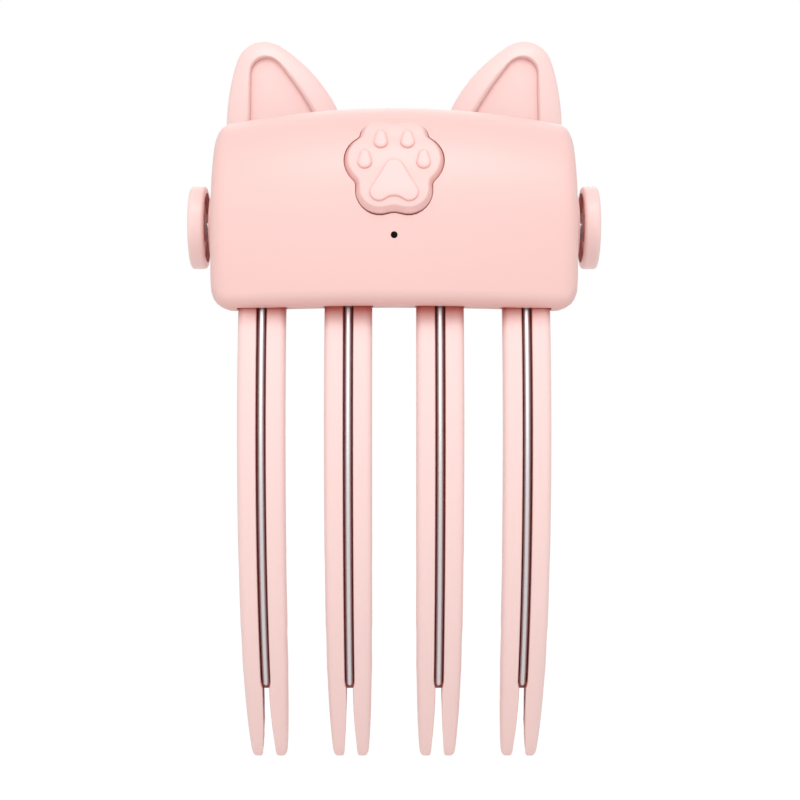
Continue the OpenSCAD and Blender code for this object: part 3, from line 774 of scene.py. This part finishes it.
def outline_of(arcs):
    points = []
    for each in arcs:
        points += arc(*each)[1 if points else 0:]
    return points


def field_flare(half):
    """How the field grows from its floor out to the rim: growth of its outline, and Y."""
    wall = [radians(14 * k) for k in range(7)]
    return ([(-0.5, FIELD_HALF), (-0.3, FIELD_HALF + 0.01), (-0.12, FIELD_HALF + 0.04)]
            + [(FIELD_ROUND * (1 - cos(a)), half - FIELD_ROUND * (1 - sin(a))) for a in wall]
            + [(FIELD_ROUND, half + 1)])


def ear(name):
    """The left ear: a plate with a broad, full edge and a sunk field on both sides."""
    half = sizes().ear_rim / MM
    plate = prism(name, [mm(x, -EAR_FULL, z) for x, z in outline_of(EAR_ARCS)],
                  mm(0, 2 * EAR_FULL, 0))
    with Shaping(plate) as shape:
        shape.round_edges(EAR_BEVEL * MM, EAR_STEPS, radians(60),
                          lambda a, b: max(a.z, b.z) > (EAR_FOOT + 0.1) * MM, EAR_PROFILE)
        shape.everything()
        shape.resize((1, half / EAR_FULL, 1))
        shape.move(mm(0, EAR_Y, 0))
    for side in (-1, 1):
        outlines = []
        for grow, y in field_flare(half):
            grown = [(centre, radius + grow, *rest) for centre, radius, *rest in FIELD_ARCS]
            line = outline_of(grown) + [(FIELD_FOOT[0] - grow, FIELD_FOOT[1])]
            outlines.append([mm(x, EAR_Y + side * y, z) for x, z in line])
        cut(plate, loft(name + "_recess", outlines))
    return plate


def bar_between(name, a, b, thick, half):
    """A flat bar along X with round edges, between two points of the YZ plane."""
    side = degrees(atan2(b[1] - a[1], b[0] - a[0]))
    around = (arc(b, thick / 2, side - 90, side + 90, 10)
              + arc(a, thick / 2, side + 90, side + 270, 10))
    return prism(name, [mm(-half, y, z) for y, z in around], mm(2 * half, 0, 0))


# The lever in side view, Y and Z: from the knee under the ears over the hinge axis to the
# foot, and from there to the root of the teeth. Then its thickness and half width
KNEE, AXIS, FOOT, ROOT = (9.2, 17.2), (0, 0), (-10, -12.6), (-15.22, -22.0)
LEVER_THICK, LEVER_HALF, ROOT_HALF = 2.4, 27.35, 3.4
# The barrel ends a hair past the lever: a union of ends that share a plane leaves stray
# vertices there, other ones in each run
BARREL_R, BARREL_HALF, BORE_R, BORE_LENGTH = 3.4, 27.36, 1.27, 70
# Size and place of the notch that shows the spring, and of the plate that carries the ears,
# and the radius of the plate's edges
NOTCH, NOTCH_PLACE = (10.8, 12, 10.7), (0, 1, 1.15)
PLATE, PLATE_PLACE, PLATE_EDGE = (58.6, 2.4, 7), (0, EAR_Y, 15.5), 0.5
# Gap between front and rear teeth, where the rear ones start, and how much narrower they are
TEETH_GAP, REAR_TOP, REAR_TRIM = 0.35, -21.5, 0.25


class HAIRCLIP_OT_jaw(bpy.types.Operator):
    """Model the rear jaw: lever, hinge barrel, cat ears and rear teeth"""
    bl_idname = "hairclip.jaw"
    bl_label = "Rear jaw"

    def lever(self):
        lever = bar_between("jaw", AXIS, KNEE, LEVER_THICK, LEVER_HALF)
        cut(lever, bar_between("jaw_foot", FOOT, AXIS, LEVER_THICK, LEVER_HALF), "UNION")
        cut(lever, cylinder("jaw_barrel", BARREL_R * MM, 2 * BARREL_HALF * MM, 64), "UNION")
        cut(lever, block("jaw_notch", mm(*NOTCH), mm(*NOTCH_PLACE)))
        cut(lever, cylinder("jaw_bore", BORE_R * MM, BORE_LENGTH * MM))
        return lever

    def execute(self, context):
        depth = sizes().rear_depth / MM
        plate = block("jaw_plate", mm(*PLATE), mm(*PLATE_PLACE))
        with Shaping(plate) as shape:
            shape.round_edges(PLATE_EDGE * MM, 4)
        left = ear("jaw_left_ear")
        behind = TOOTH_R - sizes().front_depth / MM - TEETH_GAP
        parts = [self.lever(), plate, left, mirrored(left, "jaw_right_ear"),
                 repeated(tooth("jaw_teeth", behind, depth, REAR_TOP, trim=REAR_TRIM),
                          TOOTH_PLACES),
                 repeated(bar_between("jaw_root", FOOT, ROOT, depth, ROOT_HALF), TOOTH_PLACES)]
        jaw = smoothed(joined("jaw", parts), radians(42))
        finished(jaw, jaw_plastic(), "pink_satin", "rear_jaw_lever", "rear_jaw")
        return {"FINISHED"}


# The paw button. Circles (X, Z, radius) round the cap and round the pad, the radii of the
# hollows between them, and the places of the toes
PAW_CIRCLES = ((2.45, 5.6, 2.8), (2.95, 1.2, 4.8), (2.2, -3.95, 3.7), (-2.2, -3.95, 3.7),
               (-2.95, 1.2, 4.8), (-2.45, 5.6, 2.8))
PAW_FILLETS = (1.0, 1.5, 3.4, 1.5, 1.0, 4.4)
PAD_CIRCLES = ((0.0, -0.55, 1.5), (2.35, -4.7, 1.5), (-2.35, -4.7, 1.5))
PAD_FILLETS = (40.0, 2.2, 40.0)
TOES = ((-4.63, 0.95), (-2.12, 4.6), (2.12, 4.6), (4.63, 0.95))
# Middle and radius of a toe's narrow top and of its broad foot
TOE_ENDS = (((0, 0.85), 0.8), ((0, -0.5), 1.15))
# Where the button sits on the housing, how far it leans back, and its face's crown: radius,
# height over the seat, width of the flat strips that follow it, and how far up they reach
BUTTON_SEAT, LEAN = (0, -20.1, 7.0), radians(20)
FACE_R, FACE_W, STRIP, CROWN_REACH = 60.0, 2.08, 0.8, 9.6
# Growth of the outline and height over the seat, for the cap with its flared skirt, the pad
# and a toe
CAP_LEVELS = ((0.2, -3.3), (0.2, 0.9), (0.14, 1.15), (-0.36, 1.8), (-0.41, 1.9), (-0.48, 1.985),
              (-0.57, 2.045), (-0.68, 2.08))
PAD_LEVELS = ((0, 1.0), (0, 2.2), (-0.03, 2.32), (-0.1, 2.4), (-0.2, 2.46), (-0.32, 2.48))
TOE_LEVELS = ((0, 1.0), (0, 2.18), (-0.04, 2.32), (-0.15, 2.43), (-0.3, 2.5), (-0.45, 2.53))


def ring_outline(circles, fillets, grow, steps=(9, 6)):
    """Outline round a ring of circles (x, y, radius), clockwise, with hollow fillets between."""
    count = len(circles)
    circles = [(x, y, r + grow) for x, y, r in circles]
    hollows = []
    for k, (x, y, r) in enumerate(circles):
        nx, ny, nr = circles[(k + 1) % count]
        f = fillets[k] - grow
        span = sqrt((nx - x) ** 2 + (ny - y) ** 2)
        dx, dy = (nx - x) / span, (ny - y) / span
        along = (span ** 2 + (r + f) ** 2 - (nr + f) ** 2) / (2 * span)
        out = sqrt((r + f) ** 2 - along ** 2)
        hollows.append((x + along * dx - out * dy, y + along * dy + out * dx, f))
    points = []
    for k, (x, y, r) in enumerate(circles):
        before, after = hollows[k - 1], hollows[k]
        start = degrees(atan2(before[1] - y, before[0] - x))
        end = degrees(atan2(after[1] - y, after[0] - x))
        points += arc((x, y), r, start, end - 360 if end > start else end, steps[0])[:-1]
        nx, ny = circles[(k + 1) % count][:2]
        start = degrees(atan2(y - after[1], x - after[0]))
        end = degrees(atan2(ny - after[1], nx - after[0]))
        points += arc(after[:2], after[2], start, end + 360 if end < start else end, steps[1])[:-1]
    return points


def paw_outline(grow):
    return ring_outline(PAW_CIRCLES, PAW_FILLETS, grow)


def pad_outline(grow):
    return ring_outline(PAD_CIRCLES, PAD_FILLETS, grow)


def toe_outline(grow):
    """An egg shape, narrow at the top."""
    (top, narrow), (foot, broad) = TOE_ENDS
    return arc(top, narrow + grow, 0, 180, 12) + arc(foot, broad + grow, 180, 360, 14)


def cushion(name, outline, levels):
    """A raised shape with a rounded edge, facing along -Y, from its outline at every level."""
    return loft(name, [[mm(x, -height, z) for x, z in outline(grow)] for grow, height in levels])


def crowned(piece):
    """Bends the button's flat face back over its crown, in narrow strips that run along X."""
    lines = [STRIP * (k + 0.5) for k in range(round(CROWN_REACH / STRIP))]
    with Shaping(piece) as shape:
        for z in lines:
            for side in (-1, 1):
                shape.everything()
                bpy.ops.mesh.bisect(plane_co=mm(0, 0, side * z), plane_no=(0, 0, 1))
        for z in reversed(lines):
            for side in (-1, 1):
                shape.verts(lambda v: v.z * side > z * MM + NEAR)
                bpy.ops.transform.rotate(value=side * STRIP / FACE_R, orient_axis="X",
                                         center_override=mm(0, -FACE_W, side * z))
    return piece


class HAIRCLIP_OT_button(bpy.types.Operator):
    """Model the paw button: scalloped cap, pad and toes"""
    bl_idname = "hairclip.button"
    bl_label = "Paw button"

    def execute(self, context):
        toes = repeated(cushion("button_toe", toe_outline, TOE_LEVELS),
                        [mm(x, 0, z) for x, z in TOES])
        button = crowned(joined("button", [cushion("button", paw_outline, CAP_LEVELS),
                                           cushion("button_pad", pad_outline, PAD_LEVELS), toes]))
        button.rotation_euler = (-LEAN, 0, 0)
        button.location = mm(*BUTTON_SEAT)
        smoothed(settled(button), radians(42))
        finished(button, button_plastic(), "button_pink", "power_button", "paw_button")
        return {"FINISHED"}


class HAIRCLIP_OT_knobs(bpy.types.Operator):
    """Finish the side knobs"""
    bl_idname = "hairclip.knobs"
    bl_label = "Side knobs"

    def execute(self, context):
        refinish(jaw_plastic(), "left_knob", "right_knob")
        return {"FINISHED"}


# Stage. Each lamp: name, power, place, what it faces, and its width and height
WHITE = (1, 1, 1, 1)
LAMPS = (("front_box", 1.56, (-0.1, -0.7, 0.2), (0, 0, -0.03), (0.9, 0.6)),
         ("top_box", 1.5, (0.03, -0.38, 0.47), (0, 0, -0.01), (0.4, 0.25)),
         ("back_box", 0.65, (0, 0.6, 0.4), (0, 0, -0.02), (0.5, 0.5)))
ROOM_LIGHT = 0.53
# How white the floor is by itself, and how much whiter to the camera
FLOOR_WHITE, FLOOR_SEEN, FLOOR_STRENGTH = 0.45, 0.48, 1.05
FLOOR_SIZE, FLOOR_GAP = 6, 0.0002
# The camera looks level from this height, with this lens and sideways shift
EYE_Z, LENS, SENSOR, SHIFT_X = -0.02926, 76.8, 36, 0.0073


def lamp(name, power, place, aim, size):
    data = bpy.data.lights.new(name, "AREA")
    data.energy = power
    data.shape = "RECTANGLE"
    data.size, data.size_y = size
    light = bpy.data.objects.new(name, data)
    bpy.context.scene.collection.objects.link(light)
    light.location = place
    light.rotation_euler = (Vector(aim) - Vector(place)).to_track_quat("-Z", "Y").to_euler()


class HAIRCLIP_OT_stage(bpy.types.Operator):
    """Set the pale floor, the soft lamps, the white surround and the camera"""
    bl_idname = "hairclip.stage"
    bl_label = "Stage"

    def floor_finish(self):
        f = Finish("pale_floor")
        tint = f.blend(f.noise(14, detail=3), (0.78, 0.775, 0.77, 1), (0.82, 0.815, 0.81, 1))
        matt = f.node("ShaderNodeBsdfDiffuse", {}, {"Color": tint, "Roughness": 0.8})
        white = f.node("ShaderNodeEmission", {}, {"Color": WHITE, "Strength": FLOOR_STRENGTH})
        return f.ended(f.node("ShaderNodeMixShader", {}, {
            0: f.ray("Camera") * FLOOR_SEEN + FLOOR_WHITE, 1: matt, 2: white}))

    def surround(self, scene):
        """A dim room, which the camera and glossy surfaces see as white."""
        scene.world = scene.world or bpy.data.worlds.new("surround")
        f = NodeTree(scene.world, "ShaderNodeOutputWorld")
        seen = f.node("ShaderNodeMath", {"operation": "MAXIMUM"},
                      {0: f.ray("Camera"), 1: f.ray("Glossy")})
        room, white = (f.node("ShaderNodeBackground", {}, {"Color": WHITE, "Strength": strength})
                       for strength in (ROOM_LIGHT, 1.0))
        f.ended(f.node("ShaderNodeMixShader", {}, {0: seen, 1: room, 2: white}))

    def camera(self, scene):
        data = bpy.data.cameras.new("camera")
        data.sensor_width = SENSOR
        data.lens = LENS
        data.shift_x = SHIFT_X
        data.clip_start = 0.01
        scene.camera = bpy.data.objects.new("camera", data)
        scene.collection.objects.link(scene.camera)
        scene.camera.location = (0, -sizes().camera_distance, EYE_Z)
        scene.camera.rotation_euler = (pi / 2, 0, 0)

    def execute(self, context):
        scene = context.scene
        scene.view_settings.view_transform = "Standard"
        low = CAD_BOX[0][2]
        floor = flat_piece("floor", (FLOOR_SIZE, FLOOR_SIZE), (0, 0, low - FLOOR_GAP))
        floor.data.materials.append(self.floor_finish())
        self.surround(scene)
        for each in LAMPS:
            lamp(*each)
        self.camera(scene)
        return {"FINISHED"}


STEPS = (HAIRCLIP_OT_stage, HAIRCLIP_OT_housing, HAIRCLIP_OT_comb, HAIRCLIP_OT_rods,
         HAIRCLIP_OT_electrics, HAIRCLIP_OT_jaw, HAIRCLIP_OT_button, HAIRCLIP_OT_knobs)


class HAIRCLIP_PT_panel(bpy.types.Panel):
    """The clip's sizes and colours, and a button for each step"""
    bl_label = "Heated hair clip"
    bl_idname = "HAIRCLIP_PT_panel"
    bl_space_type = "VIEW_3D"
    bl_region_type = "UI"
    bl_category = "Hair Clip"

    def draw(self, context):
        for key in ClipSizes.__annotations__:
            self.layout.prop(context.scene.hair_clip, key)
        for step in STEPS:
            self.layout.operator(step.bl_idname)


CLASSES = (ClipSizes,) + STEPS + (HAIRCLIP_PT_panel,)


def register():
    for each in CLASSES:
        bpy.utils.register_class(each)
    bpy.types.Scene.hair_clip = PointerProperty(type=ClipSizes)


def unregister():
    del bpy.types.Scene.hair_clip
    for each in reversed(CLASSES):
        bpy.utils.unregister_class(each)


def main():
    register()
    clear_selection()
    for step in STEPS:
        group, name = step.bl_idname.split(".")
        if getattr(getattr(bpy.ops, group), name)() != {"FINISHED"}:
            raise RuntimeError(step.bl_label + " did not finish")


if __name__ == "__main__":
    main()
